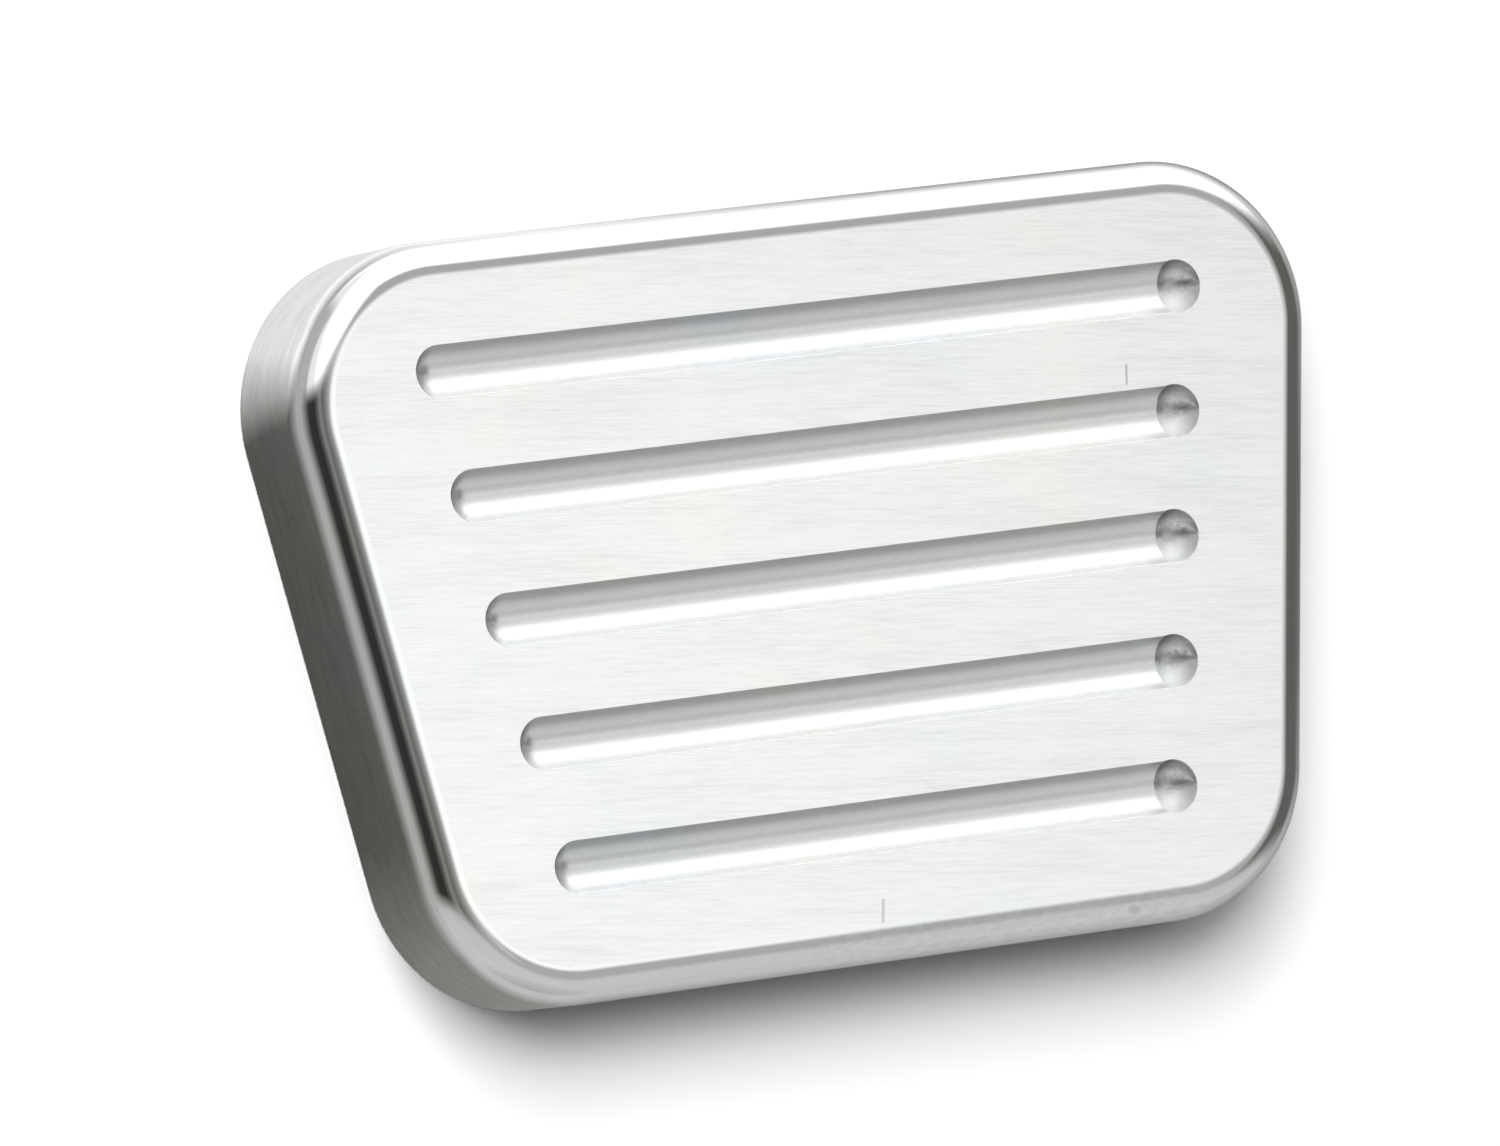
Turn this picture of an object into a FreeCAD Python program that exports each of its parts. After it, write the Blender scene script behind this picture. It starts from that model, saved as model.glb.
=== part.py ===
"""Brake pedal pad milled from one block of aluminium plate.

The pad is a trapezoid with rounded corners, wide at the top and narrow at
the bottom. Its front edge is rounded over, five ball-nosed grooves run
across its flat face, and its flat back takes two screws.

Frame: X along the grooves, Y up the pad towards its wide edge, Z out of the
face. The origin is the middle of the flat back.
"""

import FreeCAD
import Part
import Sketcher

import math
import os

NODE = "brake_pedal_pad"
GROOVE_COUNT = 5
SCREW_COUNT = 2
TOLERANCE = 1e-4

# Driving dimensions, in millimetres
SIZES = {
    "top_width": (103.6, "wide edge, between its sharp corners"),
    "bottom_width": (82.6, "narrow edge, between its sharp corners"),
    "pad_height": (66.3, "from the narrow edge to the wide edge"),
    "plate_thickness": (12.7, "half-inch plate"),
    "corner_radius": (14.0, "all four corners, seen from the front"),
    "round_over": (3.175, "eighth-inch rounding cutter on the front edge"),
    "back_break": (0.3, "small chamfer that takes the sharp edge off the back"),
    "cutter_diameter": (4.7625, "three-sixteenths ball-nosed cutter"),
    "groove_depth": (1.5875, "a sixteenth of an inch below the face"),
    "top_margin": (11.3, "from the wide edge to the first groove's middle"),
    "bottom_margin": (11.7, "from the narrow edge to the last groove's middle"),
    "end_margin": (14.0, "from the pad's side to the middle of a groove's end"),
    "plunge_overrun": (0.25, "where the cutter goes in it dips this far below the groove"),
    "screw_spacing": (38.1, "between the two screw holes in the back"),
    "tap_drill": (5.1, "drill for a quarter-inch coarse thread"),
    "screw_chamfer": (0.85, "countersink at the mouth of each screw hole"),
    "screw_floor": (1.6, "metal left between a hole's point and a groove"),
    "drill_angle": (118.0, "point of the drill, in degrees"),
}


def make_sheet(doc):
    """Write the driving dimensions to a sheet, one alias to a row."""
    sheet = doc.addObject("Spreadsheet::Sheet", "sizes")
    for row, (alias, (value, note)) in enumerate(SIZES.items(), start=1):
        sheet.set(f"A{row}", alias)
        sheet.set(f"B{row}", str(value))
        sheet.set(f"C{row}", note)
        sheet.setAlias(f"B{row}", alias)
    doc.recompute()
    return sheet


def origin_plane(body, role):
    """Return the body's own origin plane with the given role."""
    planes = [item for item in body.Origin.OriginFeatures if item.Role == role]
    return planes[0]


def new_sketch(body, name, role):
    """Start a sketch on one of the body's origin planes."""
    sketch = body.newObject("Sketcher::SketchObject", name)
    sketch.AttachmentSupport = [(origin_plane(body, role), "")]
    sketch.MapMode = "FlatFace"
    return sketch


def driven(sketch, constraint, name, expression):
    """Add a named constraint and bind it to an expression of the sheet."""
    index = sketch.addConstraint(constraint)
    sketch.renameConstraint(index, name)
    sketch.setExpression(f"Constraints.{name}", expression)


def edge_names(feature, wanted):
    """Name the edges of a feature's shape that the test picks out."""
    edges = enumerate(feature.Shape.Edges, start=1)
    return [f"Edge{number}" for number, edge in edges if wanted(edge)]


def is_upright(edge):
    """Tell whether an edge runs straight up through the plate."""
    ends = [vertex.Point for vertex in edge.Vertexes]
    run = ends[-1] - ends[0]
    return run.Length > TOLERANCE and abs(run.z) > run.Length - TOLERANCE


def lies_at(edge, level):
    """Tell whether an edge lies flat at the given level."""
    box = edge.BoundBox
    return abs(box.ZMin - level) < TOLERANCE and abs(box.ZMax - level) < TOLERANCE


def dressed(body, kind, name, base, names, size_property, alias):
    """Add a fillet or chamfer to named edges, its size bound to the sheet."""
    feature = body.newObject(kind, name)
    feature.Base = (base, names)
    feature.setExpression(size_property, f"sizes.{alias}")
    body.Document.recompute()
    return feature


def check_cut(body, before, feature):
    """Stop if a feature that should remove metal has removed none."""
    if body.Shape.Volume > before - TOLERANCE:
        raise RuntimeError(f"{feature.Name} removes no metal")


def outline_sketch(body):
    """Draw the trapezoid with sharp corners, centred on the origin."""
    sketch = new_sketch(body, "outline", "XY_Plane")
    half_top = SIZES["top_width"][0] / 2
    half_bottom = SIZES["bottom_width"][0] / 2
    half_height = SIZES["pad_height"][0] / 2
    corners = [
        FreeCAD.Vector(-half_bottom, -half_height, 0),
        FreeCAD.Vector(half_bottom, -half_height, 0),
        FreeCAD.Vector(half_top, half_height, 0),
        FreeCAD.Vector(-half_top, half_height, 0),
    ]
    bottom, right, top, left = range(4)
    for start, end in zip(corners, corners[1:] + corners[:1]):
        sketch.addGeometry(Part.LineSegment(start, end))
    for line, following in ((bottom, right), (right, top), (top, left), (left, bottom)):
        sketch.addConstraint(Sketcher.Constraint("Coincident", line, 2, following, 1))

    # Each long edge is square to the upright axis and shared equally by it
    sketch.addConstraint(Sketcher.Constraint("Symmetric", bottom, 1, bottom, 2, -2))
    sketch.addConstraint(Sketcher.Constraint("Symmetric", top, 1, top, 2, -2))
    bottom_run = Sketcher.Constraint("DistanceX", bottom, 1, bottom, 2, 2 * half_bottom)
    top_run = Sketcher.Constraint("DistanceX", top, 2, top, 1, 2 * half_top)
    rise = Sketcher.Constraint("DistanceY", right, 1, right, 2, 2 * half_height)
    middle = Sketcher.Constraint("DistanceY", bottom, 1, -1, 1, half_height)
    driven(sketch, bottom_run, "bottom_width", "sizes.bottom_width")
    driven(sketch, top_run, "top_width", "sizes.top_width")
    driven(sketch, rise, "pad_height", "sizes.pad_height")
    driven(sketch, middle, "half_height", "sizes.pad_height / 2")
    body.Document.recompute()
    return sketch


def make_blank(body):
    """Cut the blank from plate and round its corners and its front edge."""
    doc = body.Document
    blank = body.newObject("PartDesign::Pad", "blank")
    blank.Profile = outline_sketch(body)
    blank.setExpression("Length", "sizes.plate_thickness")
    doc.recompute()

    corners = dressed(body, "PartDesign::Fillet", "corners", blank,
                      edge_names(blank, is_upright), "Radius", "corner_radius")

    front = corners.Shape.BoundBox.ZMax
    front_edge = dressed(body, "PartDesign::Fillet", "front_edge", corners,
                         edge_names(corners, lambda edge: lies_at(edge, front)),
                         "Radius", "round_over")

    return dressed(body, "PartDesign::Chamfer", "back_edge", front_edge,
                   edge_names(front_edge, lambda edge: lies_at(edge, 0)),
                   "Size", "back_break")


def groove_drop(number):
    """Say how far down from the wide edge the middle of a groove lies."""
    pitch = f"(sizes.pad_height - sizes.top_margin - sizes.bottom_margin) / {GROOVE_COUNT - 1}"
    return f"(sizes.top_margin + {number - 1} * {pitch})"


def groove_half_run(number):
    """Say how far the cutter's middle runs to each side, following the pad's sides."""
    lean = "(sizes.top_width - sizes.bottom_width) / 2 / sizes.pad_height"
    return f"(sizes.top_width / 2 - {lean} * {groove_drop(number)} - sizes.end_margin)"


def cutter_level():
    """Say how high above the back the middle of the cutter's ball travels."""
    return "sizes.plate_thickness - sizes.groove_depth + sizes.cutter_diameter / 2"


def groove_sketch(body, number):
    """Draw half of the cutter's track, with the sketch's X axis along its middle."""
    sketch = new_sketch(body, f"groove_track_{number}", "XZ_Plane")
    sketch.setExpression(".AttachmentOffset.Base.y", cutter_level())
    sketch.setExpression(".AttachmentOffset.Base.z", f"{groove_drop(number)} - sizes.pad_height / 2")
    radius = SIZES["cutter_diameter"][0] / 2
    reach = SIZES["top_width"][0] / 2 - SIZES["end_margin"][0]

    left_middle = FreeCAD.Vector(-reach, 0, 0)
    right_middle = FreeCAD.Vector(reach, 0, 0)
    upward = FreeCAD.Vector(0, 0, 1)
    left_ball = Part.ArcOfCircle(Part.Circle(left_middle, upward, radius),
                                 math.pi, 1.5 * math.pi)
    right_ball = Part.ArcOfCircle(Part.Circle(right_middle, upward, radius),
                                  1.5 * math.pi, 2 * math.pi)
    bed = Part.LineSegment(FreeCAD.Vector(-reach, -radius, 0), FreeCAD.Vector(reach, -radius, 0))
    axis = Part.LineSegment(FreeCAD.Vector(reach + radius, 0, 0),
                            FreeCAD.Vector(-reach - radius, 0, 0))
    left, floor, right, middle = range(4)
    for curve in (left_ball, bed, right_ball, axis):
        sketch.addGeometry(curve)

    constraints = [
        Sketcher.Constraint("Tangent", left, 2, floor, 1),
        Sketcher.Constraint("Tangent", floor, 2, right, 1),
        Sketcher.Constraint("Coincident", right, 2, middle, 1),
        Sketcher.Constraint("Coincident", middle, 2, left, 1),
        Sketcher.Constraint("PointOnObject", middle, 1, -1),
        Sketcher.Constraint("PointOnObject", middle, 2, -1),
        Sketcher.Constraint("PointOnObject", left, 3, -1),
        Sketcher.Constraint("PointOnObject", right, 3, -1),
        Sketcher.Constraint("Equal", left, right),
    ]
    for constraint in constraints:
        sketch.addConstraint(constraint)
    ball = Sketcher.Constraint("Radius", left, radius)
    left_run = Sketcher.Constraint("DistanceX", left, 3, -1, 1, reach)
    right_run = Sketcher.Constraint("DistanceX", -1, 1, right, 3, reach)
    driven(sketch, ball, "ball_radius", "sizes.cutter_diameter / 2")
    driven(sketch, left_run, "left_run", groove_half_run(number))
    driven(sketch, right_run, "right_run", groove_half_run(number))
    body.Document.recompute()
    return sketch


def mill_groove(body, number):
    """Mill one groove with the ball-nosed cutter, from side to side."""
    before = body.Shape.Volume
    sketch = groove_sketch(body, number)
    groove = body.newObject("PartDesign::Groove", f"groove_{number}")
    groove.Profile = sketch
    groove.ReferenceAxis = (sketch, ["H_Axis"])
    groove.Angle = 360
    body.Document.recompute()
    check_cut(body, before, groove)


def plunge(body, number):
    """Sink the cutter's ball at the right end of a groove, where it goes in."""
    before = body.Shape.Volume
    ball = body.newObject("PartDesign::SubtractiveSphere", f"plunge_{number}")
    ball.AttachmentSupport = [(origin_plane(body, "XY_Plane"), "")]
    ball.MapMode = "FlatFace"
    ball.setExpression("Radius", "sizes.cutter_diameter / 2")
    ball.setExpression(".AttachmentOffset.Base.x", groove_half_run(number))
    ball.setExpression(".AttachmentOffset.Base.y", f"sizes.pad_height / 2 - {groove_drop(number)}")
    ball.setExpression(".AttachmentOffset.Base.z", f"{cutter_level()} - sizes.plunge_overrun")
    body.Document.recompute()
    check_cut(body, before, ball)


def drill_screw_holes(body):
    """Drill and countersink the blind screw holes in the flat back."""
    doc = body.Document
    before = body.Shape.Volume
    sketch = new_sketch(body, "screw_places", "XY_Plane")
    sketch.MapReversed = True
    spacing = SIZES["screw_spacing"][0]
    radius = SIZES["tap_drill"][0] / 2
    for number in range(SCREW_COUNT):
        side = 2 * number - 1
        middle = FreeCAD.Vector(side * spacing / 2, 0, 0)
        circle = sketch.addGeometry(Part.Circle(middle, FreeCAD.Vector(0, 0, 1), radius))
        sketch.addConstraint(Sketcher.Constraint("PointOnObject", circle, 3, -1))
        bore = Sketcher.Constraint("Radius", circle, radius)
        driven(sketch, bore, f"bore_{number + 1}", "sizes.tap_drill / 2")
    left, right = range(SCREW_COUNT)
    from_left = Sketcher.Constraint("DistanceX", left, 3, -1, 1, spacing / 2)
    from_right = Sketcher.Constraint("DistanceX", -1, 1, right, 3, spacing / 2)
    driven(sketch, from_left, "left_place", "sizes.screw_spacing / 2")
    driven(sketch, from_right, "right_place", "sizes.screw_spacing / 2")
    doc.recompute()

    holes = body.newObject("PartDesign::Hole", "screw_holes")
    holes.Profile = sketch
    doc.recompute()
    holes.DepthType = "Dimension"
    holes.DrillPoint = "Angled"
    holes.HoleCutType = "Countersink"
    point = "sizes.tap_drill / 2 / tan(sizes.drill_angle / 2 * 1 deg)"
    depth = f"sizes.plate_thickness - sizes.groove_depth - sizes.screw_floor - {point}"
    holes.setExpression("Diameter", "sizes.tap_drill")
    holes.setExpression("HoleCutDiameter", "sizes.tap_drill + 2 * sizes.screw_chamfer")
    holes.setExpression("DrillPointAngle", "sizes.drill_angle")
    holes.setExpression("Depth", depth)
    doc.recompute()
    check_cut(body, before, holes)


def make_pad(doc):
    """Build the pad in the order in which it is machined."""
    body = doc.addObject("PartDesign::Body", "pad")
    body.Label = NODE
    body.Placement = FreeCAD.Placement()
    make_blank(body)
    for number in range(1, GROOVE_COUNT + 1):
        mill_groove(body, number)
        plunge(body, number)
    drill_screw_holes(body)
    return body


def check(doc, body):
    """Stop if any object failed or the pad isn't one sound solid."""
    for item in doc.Objects:
        if "Invalid" in item.State or "Error" in item.State:
            raise RuntimeError(f"{item.Name} failed: {item.State}")
    shape = body.Shape
    if shape.isNull() or not shape.isValid() or len(shape.Solids) != 1:
        raise RuntimeError(f"{body.Label} isn't one valid solid")


def main():
    doc = FreeCAD.newDocument("brake_pedal_pad")
    make_sheet(doc)
    pad = make_pad(doc)
    doc.recompute()
    check(doc, pad)
    box = pad.Shape.optimalBoundingBox()
    print(f"{NODE}: {box.XLength:.2f} x {box.YLength:.2f} x {box.ZLength:.2f} mm,"
          f" {pad.Shape.Volume / 1000:.2f} cm3, {len(pad.Shape.Faces)} faces")
    os.makedirs("parts", exist_ok=True)
    pad.Shape.exportStep(os.path.join("parts", f"{NODE}.step"))


main()
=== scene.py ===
"""A milled aluminium brake pedal pad, lying on its flat back on a pale studio floor."""

import math

import bpy
from mathutils import Matrix, Vector

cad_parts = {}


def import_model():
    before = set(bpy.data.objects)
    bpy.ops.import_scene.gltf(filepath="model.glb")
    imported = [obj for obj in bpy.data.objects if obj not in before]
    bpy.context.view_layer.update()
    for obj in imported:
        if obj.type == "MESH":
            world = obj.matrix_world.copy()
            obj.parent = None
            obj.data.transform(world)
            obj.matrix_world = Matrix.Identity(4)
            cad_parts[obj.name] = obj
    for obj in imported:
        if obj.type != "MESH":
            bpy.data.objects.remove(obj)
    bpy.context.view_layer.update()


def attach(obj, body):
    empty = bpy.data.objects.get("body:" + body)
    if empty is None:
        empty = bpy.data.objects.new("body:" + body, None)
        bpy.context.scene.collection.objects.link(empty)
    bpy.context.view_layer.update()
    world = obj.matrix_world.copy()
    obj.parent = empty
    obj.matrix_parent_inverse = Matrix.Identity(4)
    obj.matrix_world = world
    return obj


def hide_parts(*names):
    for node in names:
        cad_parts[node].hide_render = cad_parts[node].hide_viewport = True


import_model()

bl_info = {
    "name": "Brake pedal pad",
    "version": (1, 0, 0),
    "blender": (4, 5, 0),
    "location": "3D View > Sidebar > Pedal pad",
    "description": "Builds a grooved aluminium brake pedal pad and the studio that it lies in",
    "category": "Object",
}

NODE = "brake_pedal_pad"
BODY = "root"
MM = 0.001
ROUND_OVER_STEPS = 24
CORNER_STEPS = 30
GROOVE_ROWS = 24
END_STATIONS = 14
BREAK_STEPS = 4
HOLE_STEPS = 64
HOLE_RINGS = 104
WALL_ROW_BELOW = 0.2 * MM
HALF_DRILL_POINT = math.radians(59)
LEVEL_WITHIN = 0.01 * MM
MERGE = 0.000002
FINISHES = (
    "Brushed Face",
    "Milled Wall",
    "Polished Round-over",
    "Milled Groove",
    "Machined Back",
    "Tapped Hole",
)

# Colour and wear of the finishes, and the shade painted into the grooves
WARMER = (0.016, 0.008, -0.012)
COOLER = (-0.024, -0.008, 0.008)
PATCH_SCALE = (60, 80, 80)
PATCH_CONTRAST = 2.5
RELIEF_HEIGHT = 0.000001
# Painted shade across a groove: darker towards its upper side, which faces away from the light, and lighter
# towards its lower side
GROOVE_SIDE_PAINTED_SHADE = (
    (0.0, 0.84), (0.5, 0.88), (0.66, 0.88), (0.72, 0.74),
    (0.79, 0.54), (0.835, 0.46), (0.93, 0.44), (1.0, 0.46),
)
GROOVE_SIDE_PAINTED_SHADE_GAIN = 1.25
CHATTER_SCALE = (2200, 2600, 2200)
# Painted shade and painted reflection in the dip where the cutter went in; the chatter marks make it uneven
DIP_PAINTED_SHADE = 0.08
WEDGE_PAINTED_SHADE = 0.4
CHATTER_DARKER = 0.9
BAND_PAINTED_SHADE = 0.3
# Painted shade at the start of each run
START_PAINTED_SHADE = 0.52
CLIMB_DULLER = 0.14
DIP_DULLER = 0.15
MOUTH_DULLER = 0.15
START_DULLER = 0.14
LINES_PER_ROW = 2.1
LINES_PER_METRE = 9
LINE_CONTRAST = 0.25
LINE_DULLER = 0.05
SCUFF_SCALE = (900, 1600, 1600)
SCUFFS_BELOW = -0.0285
SCUFFS_FROM = -0.012
SCUFFS_TO = 0.036
SCUFF_FADE = (150, 400)
SCUFF_CONTRAST = 0.35
SCUFF_DULLER = 0.2
NICK_START, NICK_END = (0.0237, -0.0316), (0.0242, -0.0317)
NICK_REACH = 0.00035
NICK_DARKER = 0.22
BLOTCH_SCALE = (700, 900, 700)

# Marks on the face: start, end, reach, softness, how much darker and how much duller
FACE_MARKS = (
    ((0.0300, 0.0155), (0.0298, 0.0139), 0.00010, 1.0, 0.28, 0.1),
    ((-0.0006, -0.0278), (-0.0009, -0.0296), 0.00012, 1.0, 0.16, 0.1),
    ((-0.0290, 0.0178), (-0.0150, 0.0168), 0.0016, 4.0, 0.025, 0.03),
    ((0.0115, -0.0249), (0.0190, -0.0258), 0.0016, 4.0, 0.03, 0.03),
)

# Tool marks: turn, scale per metre, detail, tone, spread of roughness and relief
BRUSH_TURN = math.radians(-5.5)
FACE_LAYERS = (
    (BRUSH_TURN, (340, 7600, 7600), 3.0, 0.42, 0.12, 0.25),
    (BRUSH_TURN, (160, 2600, 2600), 3.0, 0.34, 0.10, 0.0),
    (BRUSH_TURN, (60, 420, 420), 3.0, 0.26, 0.05, 0.0),
)
WALL_LAYERS = (
    (0.0, (120, 120, 4200), 4.0, 0.5, 0.10, 0.04),
    (0.0, (300, 300, 900), 3.0, 0.3, 0.06, 0.0),
)
ROUND_OVER_LAYERS = (
    (0.0, (900, 900, 900), 2.0, 0.05, 0.02, 0.0),
)
GROOVE_LAYERS = (
    (0.0, (400, 5200, 5200), 3.0, 0.10, 0.10, 0.8),
    (0.0, (1900, 900, 900), 4.0, 0.14, 0.10, 0.5),
)
BACK_LAYERS = (
    (0.0, (60, 3200, 3200), 4.0, 0.12, 0.10, 0.8),
    (0.0, (25, 500, 500), 2.0, 0.08, 0.05, 0.0),
)
HOLE_LAYERS = (
    (0.0, (300, 300, 3000), 3.0, 0.15, 0.10, 0.5),
)

# The camera, as fitted to the photograph
CAMERA_PLACE = (-0.53189, -0.01465, 1.03353)
CAMERA_RIGHT = (0.8832, -0.1314, 0.4501)
CAMERA_UP = (0.1106, 0.9912, 0.0724)
FOCAL_PIXELS = 13354.7
IMAGE_WIDTH = 1500
SENSOR_MM = 36.0
CAMERA_REACH = 20.0

# Floor and lamps: polar angle, azimuth, distance, width, height and brightness of each
FLOOR_SIZE = 3.0
FLOOR_SEEN = 1.34
WORLD_BRIGHTNESS = 0.04
LAMPS = (
    ("left_soft_box", 33.1, 130.6, 1.6, 0.95, 0.95, 4.42),
    ("overhead_soft_box", 20.6, 126.0, 1.6, 1.6, 1.6, 1.56),
    ("top_soft_box", 49.7, 107.6, 1.6, 0.62, 0.62, 2.73),
)

# The tent that only the metal mirrors: angles in degrees, each edge with the width over which it fades
WARM = (1.0, 0.98, 0.92, 1.0)
COOL = (0.99, 1.0, 0.995, 1.0)
TENT_SIZE = 2.2
TENT_RINGS = 12
TENT_STEPS = 48
TENT_BRIGHTEST = 3.0
TENT_CLOTH = (
    (0.0, 0.14), (0.12, 0.17), (0.17, 0.2), (0.31, 0.19), (0.4, 0.15),
    (0.5, 0.14), (0.6, 0.2), (0.66, 0.4), (0.74, 1.0), (1.0, 1.0),
)
RING_SHADE = 0.43
RING_EDGE = (36.0, 10.0)
RING_LEFT_EDGE = (8.0, 7.0)
RING_LOW_EDGE = (-2.0, 4.0)
LEFT_LAMP_SHADE = 1.25
LEFT_LAMP_RIGHT_EDGE = (9.0, 6.0)
LEFT_LAMP_LOW_EDGE = (14.0, 6.0)
LEFT_LAMP_FALL = 0.35
LEFT_LAMP_FALL_EDGE = (-42.0, 8.0)

# The skirt below the left lamp: its height and right edge are shares of the tent's radius
SKIRT_SHADE = 0.46
SKIRT_HEIGHT = (0.4, 0.1)
SKIRT_RIGHT_EDGE = (-0.42, 0.15)
SKIRT_LOW_EDGE = 10.0

# The gaps beside the lamp that the face mirrors, and that lamp: angles in degrees
TENT_LEFT = (
    (0.0, 0.46), (0.055, 0.32), (0.11, 0.15), (0.16, 0.035), (0.26, 0.03),
    (0.31, 0.1), (0.355, 0.24), (0.405, 0.14), (0.45, 0.22), (0.5, 0.38), (0.56, 0.6),
)
LEFT_GAP = (-22.0, 14.0, 9.0)
LEFT_GAP_END = 12.0
RIGHT_SHADE = 0.12
RIGHT_GAP = (-24.0, 19.0, 12.0)
RIGHT_GAP_START = (46.5, 8.0)
LAMP_SPOT = (21.0, -1.0, 16.0, 10.0, 0.7)
SPOT_SHADE = 1.08
SPOT_LEAN = 0.016
SPOT_LEVEL_AT = 25.0
SPOT_LEAN_LIMITS = (-6.0, 1.0)

# The apron that only the metal mirrors: its height in metres, the pad's outline and edges in millimetres
APRON_HEIGHT = 0.0002
PAD_SLOPE = 0.158
PAD_COSINE = 0.988
PAD_HALF_WIDTH = 46.0
PAD_HALF_HEIGHT = 33.15
APRON_CLOSE_SHADE = 0.8
APRON_CLOSE_GAIN = 0.25
APRON_CLOSE_EDGE = (5.0, 4.0)

# Where the far pattern takes over, as powers of ten of a millimetre, and the shades by turn
APRON_FAR_EDGE = (1.25, 0.7)
APRON_NEAR = (
    (0.0, 0.27), (0.1, 0.38), (0.2, 0.5), (0.34, 1.0), (0.42, 1.05), (0.445, 0.12), (0.47, 0.11),
    (0.56, 0.11), (0.6, 0.27), (0.65, 0.34), (0.72, 0.38), (0.86, 0.38), (0.94, 0.27),
)
APRON_FAR = (
    (0.0, 0.1), (0.05, 0.35), (0.09, 0.75), (0.13, 1.2), (0.3, 1.2), (0.34, 0.45), (0.46, 0.42),
    (0.56, 0.42), (0.63, 0.56), (0.8, 0.56), (0.92, 0.45), (0.97, 0.14),
)


# Writing node trees as sums

class Wire:
    """An output socket that Python's own signs work on."""

    def __init__(self, net, socket):
        self.net = net
        self.socket = socket

    def __add__(self, other):
        return self.net.sum("ADD", self, other)

    def __radd__(self, other):
        return self.net.sum("ADD", other, self)

    def __sub__(self, other):
        return self.net.sum("SUBTRACT", self, other)

    def __rsub__(self, other):
        return self.net.sum("SUBTRACT", other, self)

    def __mul__(self, other):
        return self.net.sum("MULTIPLY", self, other)

    def __rmul__(self, other):
        return self.net.sum("MULTIPLY", other, self)

    def __truediv__(self, other):
        return self.net.sum("DIVIDE", self, other)

    def __rtruediv__(self, other):
        return self.net.sum("DIVIDE", other, self)

    def __neg__(self):
        return self.net.sum("MULTIPLY", self, -1.0)

    def __pow__(self, other):
        return self.net.sum("POWER", self, other)

    def __lt__(self, other):
        return self.net.sum("LESS_THAN", self, other)

    def __gt__(self, other):
        return self.net.sum("GREATER_THAN", self, other)


class Made:
    """A node that has been added, whose outputs are read by name."""

    def __init__(self, net, node):
        self.net = net
        self.node = node

    def __getitem__(self, name):
        found = [s for s in self.node.outputs if s.enabled and name in (s.name, "")]
        return Wire(self.net, found[0])


class Net:
    """Adds nodes to one tree and joins their sockets."""

    def __init__(self, tree):
        self.tree = tree

    def add(self, kind, settings=None, inputs=None):
        """A node of any type: its settings are made first, then its sockets' values or links."""
        node = self.tree.nodes.new(kind)
        for name, value in (settings or {}).items():
            if name == "stops":
                self.set_stops(node.color_ramp, value)
            else:
                setattr(node, name, value)
        for name, value in (inputs or {}).items():
            self.join(value, self.find_input(node, name))
        return Made(self, node)

    @staticmethod
    def find_input(node, name):
        if isinstance(name, int):
            return node.inputs[name]
        return next(s for s in node.inputs if s.enabled and s.name == name)

    @staticmethod
    def set_stops(ramp, stops):
        while len(ramp.elements) > 1:
            ramp.elements.remove(ramp.elements[-1])
        for count, (place, shade) in enumerate(stops):
            stop = ramp.elements[0] if count == 0 else ramp.elements.new(place)
            stop.position = place
            stop.color = (shade, shade, shade, 1.0)

    def join(self, value, socket):
        if isinstance(value, Made):
            value = value[""]
        if isinstance(value, (list, tuple)) and value and isinstance(value[0], (Wire, Made)):
            for one in value:
                self.join(one, socket)
        elif isinstance(value, Wire):
            self.tree.links.new(value.socket, socket)
        else:
            socket.default_value = value

    def sum(self, operation, *values):
        return self.add("ShaderNodeMath", {"operation": operation}, dict(enumerate(values)))[""]

    def vector(self, x=0.0, y=0.0, z=0.0):
        return self.add("ShaderNodeCombineXYZ", None, {0: x, 1: y, 2: z})[""]

    def split(self, vector):
        apart = self.add("ShaderNodeSeparateXYZ", None, {0: vector})
        return apart["X"], apart["Y"], apart["Z"]

    def square_root(self, value):
        return self.sum("SQRT", value)

    def lowest(self, a, b):
        return self.sum("MINIMUM", a, b)

    def highest(self, a, b):
        return self.sum("MAXIMUM", a, b)

    def between(self, value, low=0.0, high=1.0):
        return self.lowest(self.highest(value, low), high)

    def pick(self, test, yes, no):
        """The value yes where the test is 1, and no where it is 0."""
        return no + (yes - no) * test


# The pad's shape

def new_tree(name, sockets):
    """An empty geometry tree with these named inputs, and its net and group input."""
    tree = bpy.data.node_groups.new(name, "GeometryNodeTree")
    tree.interface.new_socket("Geometry", in_out="OUTPUT", socket_type="NodeSocketGeometry")
    for label, (kind, value) in sockets.items():
        socket = tree.interface.new_socket(label, in_out="INPUT", socket_type="NodeSocket" + kind)
        if value is not None:
            socket.default_value = value
    net = Net(tree)
    return net, net.add("NodeGroupInput")


def named(net, name):
    return net.add("GeometryNodeInputNamedAttribute", {"data_type": "FLOAT"}, {"Name": name})["Attribute"]


def store(net, shape, name, value, domain="POINT"):
    return net.add(
        "GeometryNodeStoreNamedAttribute",
        {"data_type": "FLOAT", "domain": domain},
        {"Geometry": shape, "Name": name, "Value": value},
    )["Geometry"]


def lattice(net, columns, rows):
    """A grid to be bent into shape, with the column and row of each of its points."""
    mesh = net.add("GeometryNodeMeshGrid", None, {"Vertices X": columns, "Vertices Y": rows})["Mesh"]
    index = net.add("GeometryNodeInputIndex")["Index"]
    return mesh, net.sum("FLOOR", index / rows), net.sum("MODULO", index, rows)


def placed(net, shape, x, y, z):
    place = net.vector(x, y, z)
    return net.add("GeometryNodeSetPosition", None, {"Geometry": shape, "Position": place})["Geometry"]


def sharp_line(net, shape, name, value):
    """Marks as sharp the edges that run along one row or column."""
    along = net.sum("ABSOLUTE", named(net, name) - value) < 0.01
    return net.add(
        "GeometryNodeSetShadeSmooth",
        {"domain": "EDGE"},
        {"Geometry": shape, "Selection": along, "Shade Smooth": False},
    )["Geometry"]


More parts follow.
